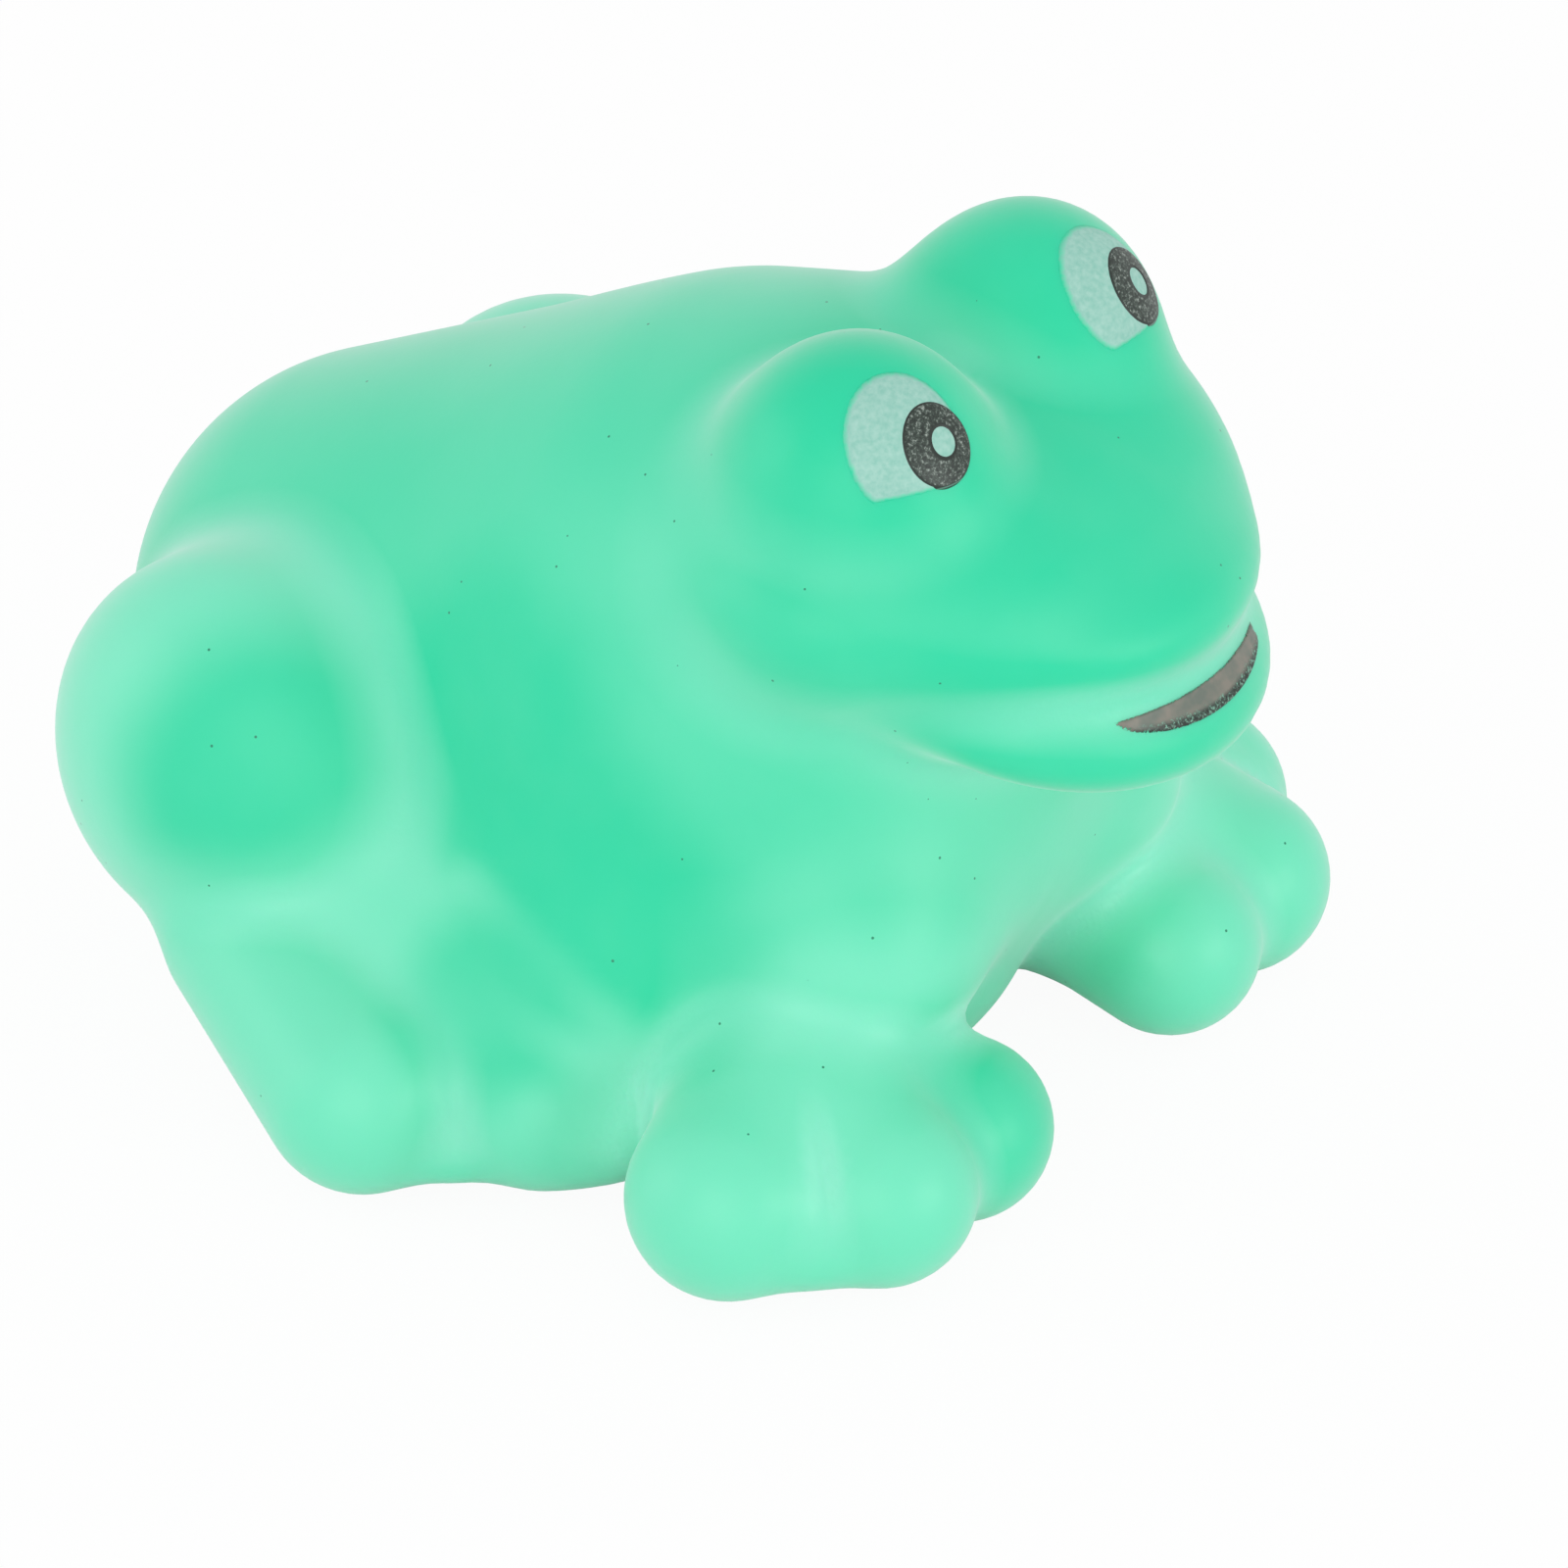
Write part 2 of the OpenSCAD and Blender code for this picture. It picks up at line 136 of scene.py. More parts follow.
def soft_cut(a, b, blend):
    """The distance to a form with another one taken away, and the edge between them rounded."""
    return -soft_union(-a, b, blend)


# Forms that both of the next tables use
EYE_BUMP = mirrored(egg(EYE_CENTRE, (EYE_R, EYE_R, EYE_R)))
THIGH = mirrored(egg((-13.2, 14.7, 14.2), (7.2, 9.2, 9.4), 10))

# The body is built up from these forms in turn. The number is the width over which
# each one flows into what is already there; a hollow is taken away instead.
BODY_FORMS = [
    ("back", limb((0, 15.3, 14.2), 12.2, (0, -3.8, 20.1), 15.4), 1.0),
    ("flank", mirrored(limb((0, -2.8, 19), 13.5, (-8, -2.8, 9), 9.5)), 4.0),
    ("side roll", mirrored(limb((-8, -2.8, 9), 9.5, (-7.5, 8.2, 8.5), 9.0)), 3.0),
    ("belly", egg((0, 0.6, 5), (15.5, 15.8, 8)), 3.0),
    ("chest", egg((0, -10.4, 13.4), (8.0, 7.6, 8.0)), 4.0),
    ("crown", egg((0, -12.8, 29.4), (14.4, 10.2, 6.2), 6), 4.0),
    ("muzzle", egg((0, -15.7, 29), (11.2, 11.3, 4.2), 11), 3.0),
    ("jaw", egg((0, -17.5, 24.8), (10.4, 10.4, 4.1), 17), 1.8),
    ("cheek", mirrored(egg((-9.3, -12.6, 28.4), (3.8, 3.8, 3.4))), 3.0),
    ("brow", mirrored(egg((-6.8, -11.6, 33), (4.8, 5.4, 5.0))), 2.5),
    ("eye bump", EYE_BUMP, 2.5),
    ("eye front", mirrored(limb((-6.6, -13.4, 32.6), 4.7, (-5.8, -17, 28.6), 4.2)), 3.0),
    ("thigh", THIGH, 3.0),
    ("arm", mirrored(limb((-6.2, -10.8, 13.9), 6.8, (-8.2, -13, 11.8), 6.2)), 3.5),
    ("outer front toe", mirrored(limb((-12, -13.2, 5.4), 5.2, (-19.3, -14, 4.2), 4.5)), 2.0),
    ("middle front toe", mirrored(limb((-12.5, -13.4, 5.2), 5.2, (-15, -19, 4.0), 4.3)), 2.2),
    ("inner front toe", mirrored(limb((-10.2, -12.8, 5), 4.3, (-8.9, -19.3, 3.9), 4.1)), 1.4),
    ("outer hind toe", mirrored(limb((-16, 12.4, 7), 4.4, (-20.9, 3.8, 4.3), 4.5)), 1.8),
    ("inner hind toe", mirrored(limb((-12.5, 6.5, 8), 5.9, (-16.8, -2.8, 4.3), 4.3)), 1.8),
    ("web by the middle front toe", mirrored(egg((-17.3, -16.7, 2.75), (3.5, 3.5, 2.4))), 1.2),
    ("web by the outer hind toe", mirrored(egg((-18.9, 0.5, 2.45), (3.3, 3.3, 1.8))), 1.2),
    ("sole by the inner hind toe", mirrored(egg((-15.8, -5.6, 3.3), (3.0, 3.0, 2.5))), 1.5),
    ("hollow between the toes", mirrored(limb((-16.7, -16.5, 10), 0.35, (-20.5, -20.1, 4.6), 0.35)), 0.8),
]


# How milky the vinyl looks, from 0 where it is thin to 1 where it gathers. Part of it is painted light:
# the pale chest and feet are painted light from the floor, and the pale edge of the thigh is a painted rim
# light.
# The wall starts even, and each place in turn draws it towards its own value, over a distance at which it
# fades out.
WALL_MILK = 0.35
TOE_FADE = 4.5
# The toes are milky where the vinyl gathers, and paler still as painted light from the floor
TOE_MILK_AND_FLOOR_LIGHT = 0.85
MILK_AND_LIGHT_PLACES = [
    ("head", egg((0, -17, 31), (12, 9, 6)), 7.0, 0.0),
    ("eye bump", EYE_BUMP, 3.0, 0.0),
    ("jaw", egg((0, -20, 23.5), (9, 7, 3)), 3.0, 0.1),
    ("back", egg((0, 8, 24), (12, 6, 4)), 8.0, 0.2),
    # The chest's pale value is painted light from the floor under the jaw
    ("chest", egg((0, -13, 12), (10, 6, 7)), 6.0, 0.65),
    # A painted rim light: the whole thigh is made pale, and the deep dome below leaves only its edge pale
    ("painted rim light round the thigh", THIGH, 2.0, 0.95),
    ("dome of the thigh", mirrored(limb((-19.2, 8.8, 16.2), 5.2, (-18.2, 5.2, 12), 5.2)), 5.5, 0.12),
    # Toes: milky vinyl, with painted floor light in their pale value
    *[(name, form, TOE_FADE, TOE_MILK_AND_FLOOR_LIGHT) for name, form, blend in BODY_FORMS if name.endswith("toe")],
    ("wrist", mirrored(egg((-13, -17, 10.5), (5, 3, 2))), 4.0, 0.95),
    ("flank", mirrored(limb((-14.5, 1, 22.5), 3.5, (-15.5, -7, 12), 3.2)), 4.5, 0.0),
    ("fold over the inner hind toe", mirrored(limb((-17.5, 1, 12), 1.2, (-17.5, -6.5, 8.2), 0.8)), 2.5, 0.8),
    ("top of the right inner front toe", egg((-8.9, -20, 6), (3, 3, 3)), 4.0, 0.25),
    ("side of the inner hind toe", mirrored(egg((-18.5, -1.5, 9.3), (2.5, 2.5, 2.5))), 3.5, 0.2),
]


def milk_and_painted_light(points):
    """How milky the vinyl looks at each point, with painted floor light and a painted rim light in it."""
    milk_and_light = np.full(len(points), WALL_MILK)
    for name, form, fade, value in MILK_AND_LIGHT_PLACES:
        share = np.clip(1 - form(points) / fade, 0, 1)
        milk_and_light += (value - milk_and_light) * share * share * (3 - 2 * share)
    return milk_and_light


def body_distance(points):
    """Distance to the outside of the frog, without its flat underside."""
    total = None
    for name, form, blend in BODY_FORMS:
        here = form(points)
        if total is None:
            total = here
        elif name.startswith("hollow"):
            total = soft_cut(total, here, blend)
        else:
            total = soft_union(total, here, blend)
    return total


def shell_distance(points):
    """Distance to the hollow moulding, with its flat underside and the squeaker's seat."""
    outside = body_distance(points)
    solid = soft_cut(outside, points[:, 2], EDGE_ROUND)
    hollow = soft_cut(outside + WALL, points[:, 2] - WALL, HOLLOW_ROUND)
    seat_out = np.hypot(points[:, 0], points[:, 1] - SEAT_Y)
    recess = np.maximum(seat_out - SEAT_RECESS_R, points[:, 2] - SEAT_RECESS_DEPTH)
    hole = np.maximum(seat_out - SEAT_HOLE_R, points[:, 2] - 2 * WALL)
    shell = np.maximum(solid, -hollow)
    return soft_cut(soft_cut(shell, recess, SEAT_ROUND), hole, SEAT_ROUND)


def gradient(field, points, reach=0.05):
    """The slope of a field at each point."""
    steps = np.eye(3) * reach
    return np.stack([field(points + s) - field(points - s) for s in steps], 1) / (2 * reach)


def settle(field, points, rounds=3):
    """Moves points along the slope of a field until they lie on its surface."""
    for _ in range(rounds):
        slope = gradient(field, points)
        points = points - slope * (field(points) / np.maximum((slope ** 2).sum(1), 1e-6))[:, None]
    return points


def net_surface(field, low, high, step):
    """Points and quads of the surface of a field inside a box, on a net of square cells."""
    axes = [np.arange(a, b + step, step) for a, b in zip(low, high)]
    grid = np.stack(np.meshgrid(*axes, indexing="ij"), -1)
    shape = grid.shape[:3]
    flat = grid.reshape(-1, 3)
    lots = np.array_split(flat, GRID_LOTS)
    value = np.concatenate([field(lot) for lot in lots]).reshape(shape)
    inside = value < 0

    def corner(array, offset):
        return array[tuple(slice(o, o + n - 1) for o, n in zip(offset, shape))]
    offsets = [(i, j, k) for i in (0, 1) for j in (0, 1) for k in (0, 1)]
    filled = sum(corner(inside, o).astype(int) for o in offsets)
    active = (filled > 0) & (filled < 8)
    number = np.full(active.shape, -1)
    number[active] = np.arange(active.sum())

    total = np.zeros((active.sum(), 3))
    count = np.zeros(active.sum())
    for axis in range(3):
        for o in offsets:
            if o[axis]:
                continue
            far = tuple(c + (n == axis) for n, c in enumerate(o))
            a, b = corner(value, o)[active], corner(value, far)[active]
            crosses = (a < 0) != (b < 0)
            share = np.where(crosses, a / np.where(crosses, a - b, 1), 0)
            place = np.tile(np.array(o, float), (len(share), 1))
            place[:, axis] += share
            total += place * crosses[:, None]
            count += crosses
    points = np.array(low) + (np.argwhere(active) + total / count[:, None]) * step

    quads = []
    for axis in range(3):
        u, v = (axis + 1) % 3, (axis + 2) % 3
        start = [slice(1, n - 1) for n in shape]
        start[axis] = slice(0, shape[axis] - 1)
        end = list(start)
        end[axis] = slice(1, shape[axis])
        change = inside[tuple(start)] != inside[tuple(end)]
        place = np.argwhere(change) + np.array([0 if n == axis else 1 for n in range(3)])
        ring = []
        for du, dv in ((-1, -1), (0, -1), (0, 0), (-1, 0)):
            cell = place.copy()
            cell[:, u] += du
            cell[:, v] += dv
            ring.append(number[tuple(cell.T)])
        ring = np.stack(ring, 1)
        leaves = inside[tuple(place.T)]
        ring[~leaves] = ring[~leaves][:, ::-1]
        quads.append(ring)
    return points, np.concatenate(quads)


def make_piece(name, points, faces):
    """A smooth mesh object from points in millimetres."""
    mesh = bpy.data.meshes.new(name)
    mesh.from_pydata((np.asarray(points) * MM).tolist(), [], [list(map(int, f)) for f in faces])
    mesh.validate()
    mesh.shade_smooth()
    piece = bpy.data.objects.new(name, mesh)
    bpy.context.scene.collection.objects.link(piece)
    return piece


def store(piece, name, values):
    """Keeps one number per point on a piece, for its material to read."""
    layer = piece.data.attributes.new(name, "FLOAT", "POINT")
    layer.data.foreach_set("value", np.asarray(values, np.float32))


def openness(points, normals, reach):
    """How far a point on the body looks into the open: 1 on flat or round places, less in creases."""
    return np.clip(body_distance(points + normals * reach) / reach, 0, 1)


def make_body():
    """The hollow vinyl skin, in one piece, with its creases and its milkiness, painted floor light and rim
    light included, kept per point.
    """
    low = np.array(cad_box[0]) / MM - GRID_MARGIN
    high = np.array(cad_box[1]) / MM + GRID_MARGIN
    points, quads = net_surface(shell_distance, low, high, SKIN_STEP)
    points = settle(shell_distance, points)
    body = make_piece("vinyl_body", points, quads)
    normals = gradient(body_distance, points)
    normals /= np.linalg.norm(normals, axis=1)[:, None]
    crease = sum(share * (1 - openness(points, normals, reach)) for reach, share in CREASE_REACHES)
    store(body, "crease", crease)
    store(body, "milk_and_light", milk_and_painted_light(points))
    return body


# Prints. Each film is a thin closed patch: its upper side stands a little proud of the vinyl and dips
# into it along its edges, and its lower side is sunk in it.
PAINT_PROUD = 0.05
INK_PROUD = 0.08
EDGE_SUNK = 0.02
FILM_SUNK = 0.10
FILM_RINGS = 10
FILM_SIDES = 72
FILM_MIDDLE = 0.05
FILM_SETTLES = 6


def film_patch(name, outline, place, proud, window=None):
    """A patch inside outline(turn), laid on the body by place(flat).

    What window(turn) encloses, if it is given, stays bare."""
    flat, edge, down, lift = [], [], [], []
    for ring in range(FILM_RINGS + 1):
        share = ring / FILM_RINGS
        for i in range(FILM_SIDES):
            turn = 2 * math.pi * i / FILM_SIDES
            outer = Vector(outline(turn))
            inner = Vector(window(turn)) if window else outer * FILM_MIDDLE
            flat.append(inner.lerp(outer, share))
            edge.append(share)
            down.append(-share * math.sin(turn))
            at_edge = ring == FILM_RINGS or (window and ring == 0)
            lift.append(-EDGE_SUNK if at_edge else proud)
    rough = place(np.array(flat))
    layers = [
        settle(lambda p: body_distance(p) - np.array(lift), rough, FILM_SETTLES),
        settle(lambda p: body_distance(p) + FILM_SUNK, rough, FILM_SETTLES),
    ]
    count = len(flat)
    last = FILM_RINGS * FILM_SIDES
    upper, rim = [], []
    for i in range(FILM_SIDES):
        j = (i + 1) % FILM_SIDES
        for a in range(0, last, FILM_SIDES):
            b = a + FILM_SIDES
            upper.append((a + i, b + i, b + j, a + j))
        rim.append((last + i, last + i + count, last + j + count, last + j))
        if window:
            rim.append((i, j, j + count, i + count))
    if not window:
        upper.append(tuple(range(FILM_SIDES)))
    under = [tuple(n + count for n in reversed(f)) for f in upper]
    piece = make_piece(name, np.concatenate(layers), upper + under + rim)
    store(piece, "edge", np.tile(edge, 2))
    store(piece, "down", np.tile(down, 2))
    return piece


def on_eye(side, turn, tilt):
    """Maps a flat print onto the eye bump: turn and tilt, in degrees, are where its middle looks."""
    centre = np.array((side * abs(EYE_CENTRE[0]), EYE_CENTRE[1], EYE_CENTRE[2]))
    gaze = Matrix.Rotation(math.radians(turn), 3, "Z") @ Matrix.Rotation(math.radians(-tilt), 3, "X")

    def place(flat):
        bend = np.hypot(flat[:, 0], flat[:, 1]) / EYE_R
        spread = np.sinc(bend / math.pi) / EYE_R
        look = np.stack([flat[:, 0] * spread, -np.cos(bend), flat[:, 1] * spread], 1)
        return centre + look @ np.array(gaze).T * EYE_R
    return place


# Eye whites: an oval sprayed mask, cut straight below; both slipped towards the frog's right
WHITE_HALF_W = 2.75
WHITE_HALF_H = 3.3
WHITE_CUT = 2.3
WHITE_OUT = 16
WHITE_SLIP = -16
WHITE_TILT = 31


def white_outline(turn):
    return WHITE_HALF_W * math.cos(turn), max(WHITE_HALF_H * math.sin(turn), -WHITE_CUT)


# Pupils: a printed oval with a bare oval window for the highlight, just off its middle
PUPIL_HALF_W = 1.70
PUPIL_HALF_H = 1.92
PUPIL_OUT = 14.7
PUPIL_SLIP = -0.8
PUPIL_TILT = 25
GLINT = 0.28
GLINT_ASIDE = 0.3


def pupil_outline(turn):
    return PUPIL_HALF_W * math.cos(turn), PUPIL_HALF_H * math.sin(turn)


def glint_outline(turn):
    u, v = pupil_outline(turn)
    return GLINT * u + GLINT_ASIDE, GLINT * v


# Mouth: a printed bow on the jaw, under the lip, flat above and round below; its left end is blunt
MOUTH_MIDDLE = -0.5
MOUTH_RIGHT_W = 5.4
MOUTH_LEFT_W = 6.2
MOUTH_BLUNT = 5.2
MOUTH_SAG = 1.2
MOUTH_TOP_Z = 24.7
MOUTH_FROM_Y = -32.0
MOUTH_STEPS = 30


def mouth_outline(turn):
    u, v = math.cos(turn), math.sin(turn)
    left_w = MOUTH_BLUNT if v > 0 else MOUTH_LEFT_W
    u *= left_w if u > 0 else MOUTH_RIGHT_W
    return min(u, MOUTH_BLUNT), MOUTH_SAG / 2 + MOUTH_SAG * min(v, 0)


def on_jaw(flat):
    """Carries a flat print straight back from in front of the face until it lies on the jaw."""
    points = np.insert(flat + (MOUTH_MIDDLE, MOUTH_TOP_Z - MOUTH_SAG / 2), 1, MOUTH_FROM_Y, axis=1)
    for _ in range(MOUTH_STEPS):
        points[:, 1] += body_distance(points)
    return points


# Materials

# Sockets of a colour Mix node, which share their names and so go by number
MIX_SHARE = 0
MIX_FROM = 6
MIX_TO = 7
MIX_COLOUR = 2


def linear(hex_colour):
    """An sRGB hex colour as linear red, green, blue and alpha."""
    parts = [int(hex_colour[i:i + 2], 16) / 255 for i in (1, 3, 5)]
    return tuple(c / 12.92 if c <= 0.04045 else ((c + 0.055) / 1.055) ** 2.4 for c in parts) + (1.0,)


def add(tree, kind, inputs=None, stops=(), **settings):
    """Adds a node with its settings; each input, by name or number, is a value or a socket to link.

    The stops of a colour ramp are pairs of a place and an sRGB colour."""
    node = tree.nodes.new("ShaderNode" + kind)
    for name, value in settings.items():
        setattr(node, name, value)
    for place, value in (inputs or {}).items():
        if isinstance(value, bpy.types.NodeSocket):
            tree.links.new(value, node.inputs[place])
        else:
            node.inputs[place].default_value = value
    for number, (place, colour) in enumerate(stops):
        elements = node.color_ramp.elements
        element = elements[number] if number < len(elements) else elements.new(place)
        element.position = place
        element.color = linear(colour)
    return node


def new_material(name):
    material = bpy.data.materials.new(name)
    material.use_nodes = True
    material.node_tree.nodes.clear()
    return material, material.node_tree


def vinyl():
    """Soft PVC, rotationally moulded: a satin skin, deep green where it is a thin wall over air.

    It is milky in the toes, where vinyl gathers, and pale on the chest, the feet and the edge of the thigh
    as painted floor light and a painted rim light; it is pale and pebbly in the creases, and hazy at its
    edges."""
    material, tree = new_material("soft_pvc_vinyl_rotomoulded")
    place = add(tree, "TexCoord").outputs["Object"]
    crease = add(tree, "Attribute", attribute_name="crease").outputs["Fac"]
    milk_and_light = add(tree, "Attribute", attribute_name="milk_and_light").outputs["Fac"]
    # Deep green to milky mint by the milk table, which also holds painted floor light on the chest and feet
    # and a painted rim light round the thigh
    milky = add(tree, "Mix", {
        MIX_SHARE: milk_and_light, MIX_FROM: linear("#14d6a3"), MIX_TO: linear("#7ae9c4"),
    }, data_type="RGBA").outputs[MIX_COLOUR]
    # Bloom in the creases
    bloom = add(tree, "MapRange", {"Value": crease, "From Min": 0.08, "From Max": 0.55, "To Max": 0.9})
    pale = add(tree, "Mix", {
        MIX_SHARE: bloom.outputs[0], MIX_FROM: milky, MIX_TO: linear("#9af1d6"),
    }, data_type="RGBA").outputs[MIX_COLOUR]
    # Clouds in the vinyl, about 9 mm across
    cloud = add(tree, "TexNoise", {"Vector": place, "Scale": 1 / (9 * MM), "Detail": 3.0}).outputs[0]
    share = add(tree, "MapRange", {"Value": cloud, "From Min": 0.45, "From Max": 0.8, "To Max": 0.15})
    cloudy = add(tree, "Mix", {
        MIX_SHARE: share.outputs[0], MIX_FROM: pale, MIX_TO: linear("#7ee8c4"),
    }, data_type="RGBA").outputs[MIX_COLOUR]
    # Specks of dark pigment, up to 0.13 mm wide, scattered through the wall about 1.6 mm apart
    cells = add(tree, "TexVoronoi", {"Vector": place, "Scale": 1 / (1.6 * MM)})
    rare = add(tree, "Math", {0: cells.outputs["Color"], 1: 0.3}, operation="GREATER_THAN")
    small = add(tree, "Math", {0: cells.outputs["Distance"], 1: 0.04}, operation="LESS_THAN")
    speck = add(tree, "Math", {0: rare.outputs[0], 1: small.outputs[0]}, operation="MULTIPLY")
    dotted = add(tree, "Mix", {
        MIX_SHARE: speck.outputs[0], MIX_FROM: cloudy, MIX_TO: linear("#1a8a66"),
    }, data_type="RGBA").outputs[MIX_COLOUR]
    # Orange peel left by the mould, about 0.3 mm from dimple to dimple and stronger in the creases
    peel = add(tree, "TexNoise", {"Vector": place, "Scale": 1 / (0.3 * MM), "Detail": 1.0}).outputs[0]
    depth = add(tree, "MapRange", {
        "Value": crease, "From Min": 0.2, "From Max": 0.5, "To Min": 0.1, "To Max": 0.5,
    })
    bump = add(tree, "Bump", {"Strength": depth.outputs[0], "Distance": 0.05 * MM, "Height": peel})
    # The haze of the satin skin, seen along its edges
    graze = add(tree, "LayerWeight", {"Blend": 0.5}).outputs["Facing"]
    haze = add(tree, "MapRange", {"Value": graze, "From Min": 0.25, "To Max": 0.5})
    surface = add(tree, "BsdfPrincipled", {
        "Base Color": dotted, "Roughness": 0.42, "IOR": 1.52, "Normal": bump.outputs["Normal"],
        "Subsurface Weight": 0.25, "Subsurface Radius": (0.6, 1.3, 1.0), "Subsurface Scale": MM,
        "Sheen Weight": haze.outputs[0], "Sheen Roughness": 0.6, "Sheen Tint": (1, 1, 1, 1),
    })
    add(tree, "OutputMaterial", {"Surface": surface.outputs["BSDF"]})
    return material


def sprayed_white():
    """Thin white vinyl paint sprayed through a mask: tinted by the green below, with a misty edge."""
    material, tree = new_material("white_vinyl_paint_sprayed")
    place = add(tree, "TexCoord").outputs["Object"]
    edge = add(tree, "Attribute", attribute_name="edge").outputs["Fac"]
    # Drying droplets about 0.25 mm apart
    grain = add(tree, "TexNoise", {"Vector": place, "Scale": 1 / (0.25 * MM), "Detail": 3.0}).outputs[0]
    white = add(tree, "ValToRGB", {"Fac": grain}, [(0.3, "#8ac5b5"), (0.75, "#a6d3c6")])
    mist = add(tree, "Math", {0: grain, 1: 0.12, 2: edge}, operation="MULTIPLY_ADD").outputs[0]
    bare = add(tree, "MapRange", {"Value": mist, "From Min": 0.94, "From Max": 1.04})
    tint = add(tree, "Mix", {
        MIX_SHARE: bare.outputs[0], MIX_FROM: white.outputs[0], MIX_TO: linear("#1ad6a4"),
    }, data_type="RGBA").outputs[MIX_COLOUR]
    relief = add(tree, "Bump", {"Strength": 0.25, "Distance": 0.03 * MM, "Height": grain})
    surface = add(tree, "BsdfPrincipled", {
        "Base Color": tint, "Roughness": 0.45, "Normal": relief.outputs[0],
    })
    add(tree, "OutputMaterial", {"Surface": surface.outputs["BSDF"]})
    return material


def pupil_ink():
    """Black pad-printing ink: thin and flecked inside, dense along both of its edges."""
    material, tree = new_material("black_ink_pad_printed")
    place = add(tree, "TexCoord").outputs["Object"]
    edge = add(tree, "Attribute", attribute_name="edge").outputs["Fac"]
    down = add(tree, "Attribute", attribute_name="down").outputs["Fac"]
    # Flecks where the pad lifted, about 0.15 mm long
    flecks = add(tree, "TexNoise", {
        "Vector": place, "Scale": 1 / (0.15 * MM), "Detail": 3.0, "Roughness": 0.7,
    })
    bands = [(0.04, "#000000"), (0.2, "#ffffff"), (0.86, "#ffffff"), (0.95, "#000000")]
    inside = add(tree, "ValToRGB", {"Fac": edge}, bands)
    thin = add(tree, "Math", {0: flecks.outputs[0], 1: inside.outputs[0]}, operation="MULTIPLY")
    shades = [(0.4, "#1d2822"), (0.55, "#3c4a42"), (0.68, "#9aa59d")]
    tint = add(tree, "ValToRGB", {"Fac": thin.outputs[0]}, shades)
    # The bare hairline inside the lower rim
    line = add(tree, "ValToRGB", {"Fac": down}, [(0.86, "#000000"), (0.9, "#b0b0b0"), (0.94, "#000000")])
    lined = add(tree, "Mix", {
        MIX_SHARE: line.outputs[0], MIX_FROM: tint.outputs[0], MIX_TO: linear("#8ccbb6"),
    }, data_type="RGBA").outputs[MIX_COLOUR]
    surface = add(tree, "BsdfPrincipled", {"Base Color": lined, "Roughness": 0.38})
    add(tree, "OutputMaterial", {"Surface": surface.outputs["BSDF"]})
    return material


def mouth_ink():
    """Worn grey-brown pad-printing ink: smooth above, and broken into black grains along its lower edge."""
    material, tree = new_material("grey_brown_ink_pad_printed")
    place = add(tree, "TexCoord").outputs["Object"]
    edge = add(tree, "Attribute", attribute_name="edge").outputs["Fac"]
    down = add(tree, "Attribute", attribute_name="down").outputs["Fac"]
    # Grains about 0.15 mm across, over blotches of about 0.8 mm
    grains = add(tree, "TexNoise", {
        "Vector": place, "Scale": 1 / (0.15 * MM), "Detail": 3.0, "Roughness": 0.7,
    }).outputs[0]
    blotch = add(tree, "TexNoise", {"Vector": place, "Scale": 1 / (0.8 * MM), "Detail": 2.0}).outputs[0]
    smooth = add(tree, "ValToRGB", {"Fac": blotch}, [(0.35, "#6b736a"), (0.65, "#868076")])
    shades = [(0.42, "#14231c"), (0.52, "#3a4a41"), (0.66, "#7fb6a0")]
    broken = add(tree, "ValToRGB", {"Fac": grains}, shades)
    low = add(tree, "Math", {0: grains, 1: 0.5, 2: down}, operation="MULTIPLY_ADD").outputs[0]
    band = add(tree, "MapRange", {"Value": low, "From Min": 0.5, "From Max": 0.75})
    tint = add(tree, "Mix", {
        MIX_SHARE: band.outputs[0], MIX_FROM: smooth.outputs[0], MIX_TO: broken.outputs[0],
    }, data_type="RGBA").outputs[MIX_COLOUR]
    # The print's edge is torn by the same grains
    torn = add(tree, "Math", {0: grains, 1: 0.4, 2: edge}, operation="MULTIPLY_ADD").outputs[0]
    cover = add(tree, "Math", {0: torn, 1: 1.16}, operation="LESS_THAN")
    surface = add(tree, "BsdfPrincipled", {"Base Color": tint, "Roughness": 0.4, "Alpha": cover.outputs[0]})
    add(tree, "OutputMaterial", {"Surface": surface.outputs["BSDF"]})
    return material


def moulded_plastic(name, colour, roughness):
    """Natural polyethylene or polypropylene, injection moulded: milky and waxy, with faint flow marks."""
    material, tree = new_material(name)
    place = add(tree, "TexCoord").outputs["Object"]
    # Flow marks about 2 mm apart
    flow = add(tree, "TexNoise", {"Vector": place, "Scale": 1 / (2 * MM), "Detail": 2.0}).outputs[0]
    tint = add(tree, "ValToRGB", {"Fac": flow}, [(0.3, colour), (0.7, "#f3f5f2")])
    surface = add(tree, "BsdfPrincipled", {
        "Base Color": tint.outputs[0], "Roughness": roughness, "IOR": 1.51,
        "Subsurface Weight": 0.2, "Subsurface Radius": (0.5, 0.5, 0.5), "Subsurface Scale": MM,
    })
    add(tree, "OutputMaterial", {"Surface": surface.outputs["BSDF"]})
    return material


